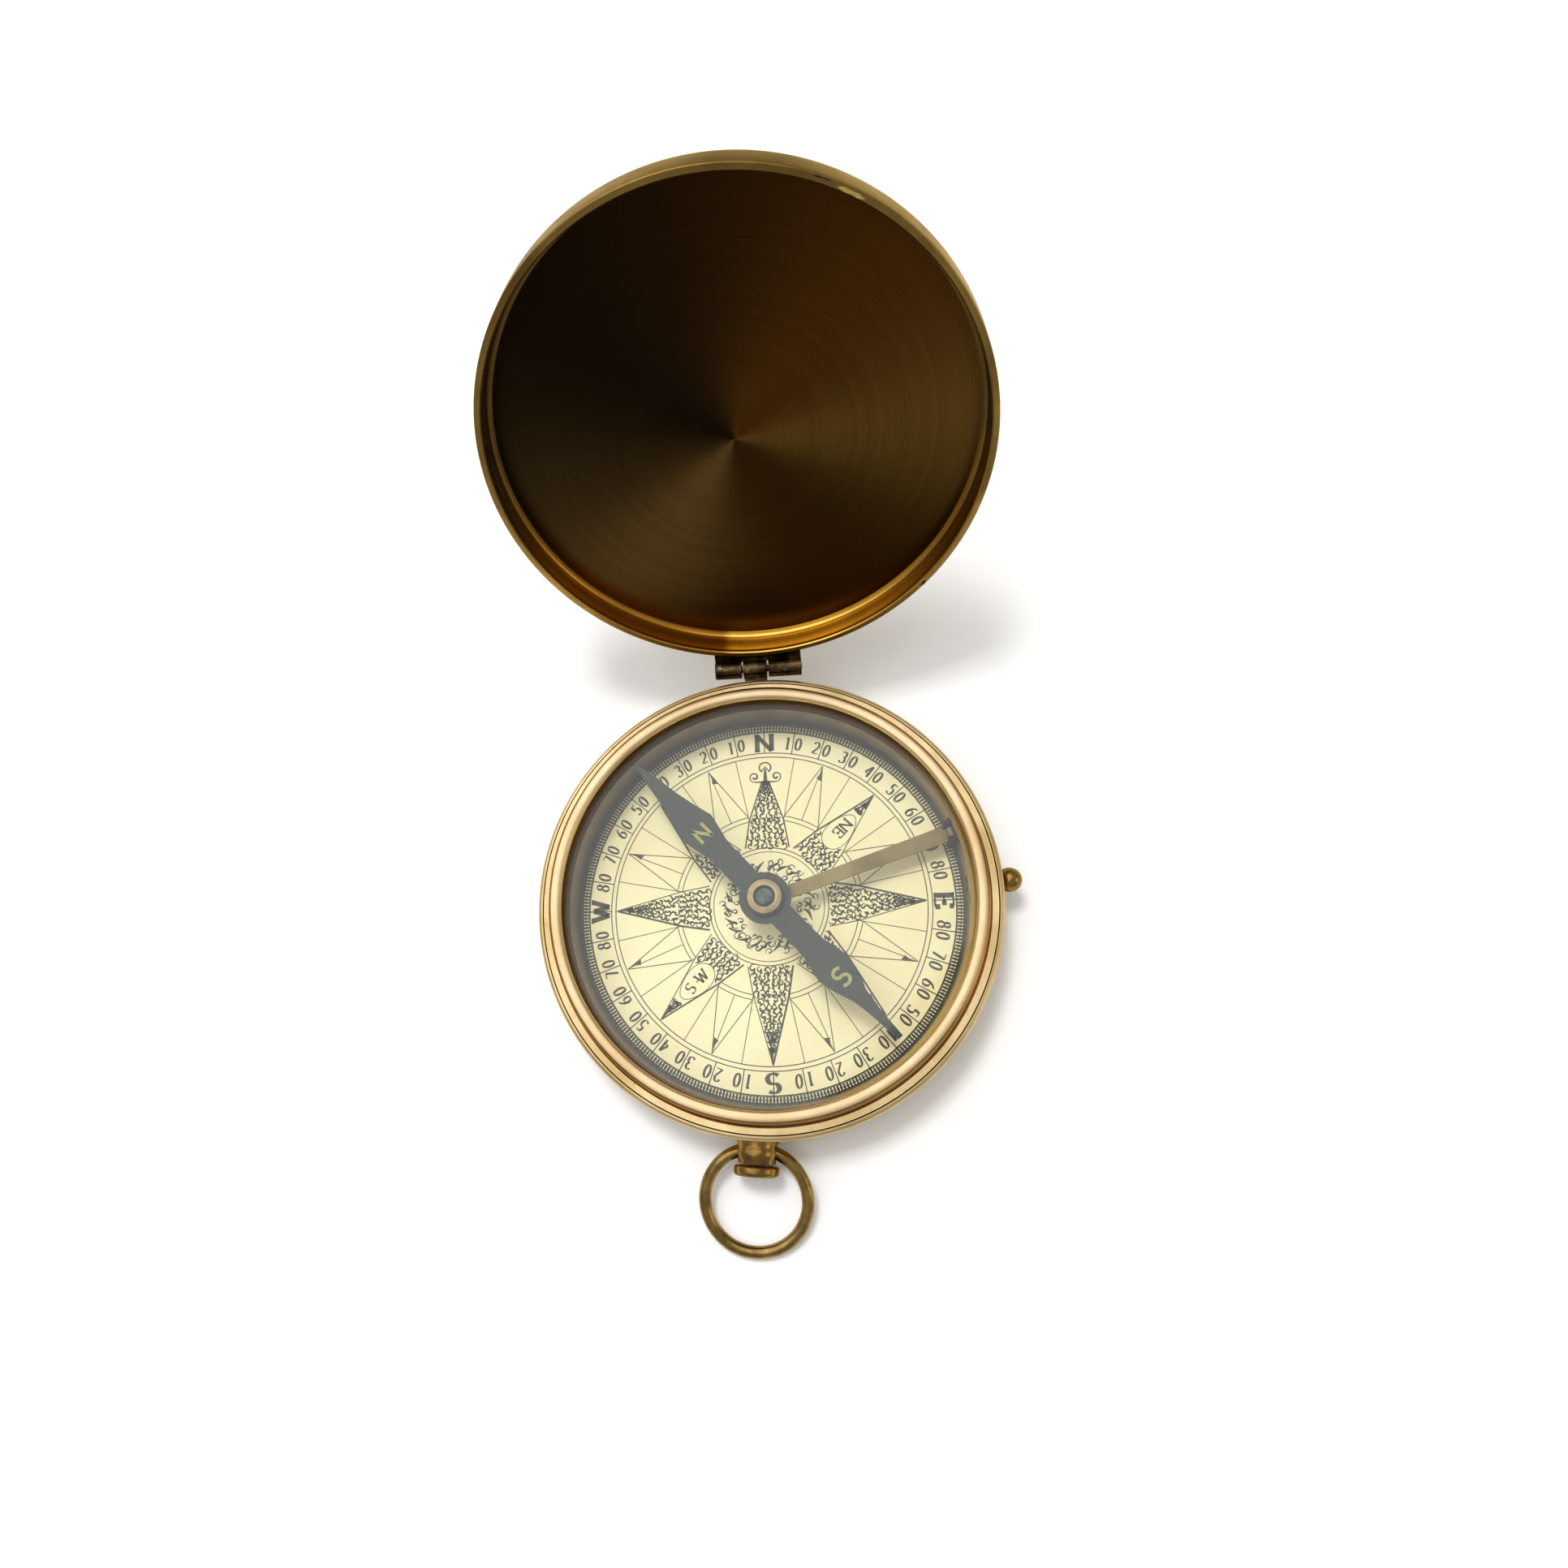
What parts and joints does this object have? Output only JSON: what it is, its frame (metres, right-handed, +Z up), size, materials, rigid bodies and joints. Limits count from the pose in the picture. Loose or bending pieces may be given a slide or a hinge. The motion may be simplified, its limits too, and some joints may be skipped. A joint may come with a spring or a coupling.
{
  "type": "lidded pocket compass",
  "caption": "Round brass pocket compass with hinged lid, glazed dial, balanced needle, push-knob needle arrest, and a pendant with a loose bow ring",
  "frame": {"origin": "centre of the flat underside of the bowl", "axes": "+Z up out of the dial, +Y towards the hinge (north on the card), +X towards the push knob"},
  "size_m": [0.0733, 0.1254, 0.0742],
  "materials": {
    "case": "aged, turned and brushed",
    "lid": "circular brushed inside",
    "hinge": "dark patina",
    "ring": "polished by handling",
    "glass": "clear",
    "card": "printed card",
    "needle": "blued steel",
    "cap": "turned, pinkish",
    "jewel": "polished stone"
  },
  "bodies": {
    "bowl": {"bowl_shell": "case", "bezel_ring": "case", "retaining_ring": "case", "distance_ring": "case", "glass": "glass", "card": "card", "card_plate": "case", "pivot_post": "case", "pivot_nut": "case", "knob_bush": "case", "pendant_stem": "ring", "pendant_collar": "ring", "lever_bracket": "hinge", "lever_pin": "hinge", "bowl_hinge_leaf": "hinge"},
    "lid": {"lid_shell": "lid", "lid_hinge_leaf": "hinge", "hinge_pin": "hinge"},
    "lift": {"lift_collar": "case"},
    "needle": {"needle_blade": "needle", "needle_boss": "needle", "cap_ring": "cap", "cap_jewel": "jewel"},
    "lever": {"arrest_lever": "case"},
    "knob": {"knob_ball": "case", "knob_stem": "case"},
    "ring": {"pendant_ring": "ring"}
  },
  "joints": [
    {"name": "lid_hinge", "type": "hinge", "parent": "bowl", "child": "lid", "pos_m": [0, 0.03675, 0.0109], "axis": [1, 0, 0], "range_deg": [-3, 117]},
    {"name": "knob_push", "type": "slide", "parent": "bowl", "child": "knob", "axis": [-0.9982, -0.0593, 0], "range_m": [0, 0.0008], "stiffness_N_per_m": 400, "springref_m": -0.002},
    {"name": "lever_lift", "type": "hinge", "parent": "bowl", "child": "lever", "pos_m": [0.02837, 0.00977, 0.0066], "axis": [-0.3256, 0.9455, 0], "range_deg": [0, 0.573]},
    {"name": "needle_lift", "type": "slide", "parent": "bowl", "child": "lift", "axis": [0, 0, 1], "range_m": [0, 0.0003]},
    {"name": "needle_spin", "type": "hinge", "parent": "lift", "child": "needle", "pos_m": [0, 0, 0.0097], "axis": [0, 0, 1], "continuous": true},
    {"name": "ring_swing", "type": "hinge", "parent": "bowl", "child": "ring", "pos_m": [-0.00256, -0.03666, 0.0045], "axis": [-0.9976, 0.0698, 0], "range_deg": [-76, 100]}
  ],
  "couplings": [
    {"joint": "lever_lift", "follows": "knob_push", "rad_per_m": 12.5},
    {"joint": "needle_lift", "follows": "knob_push", "ratio": 0.375}
  ]
}
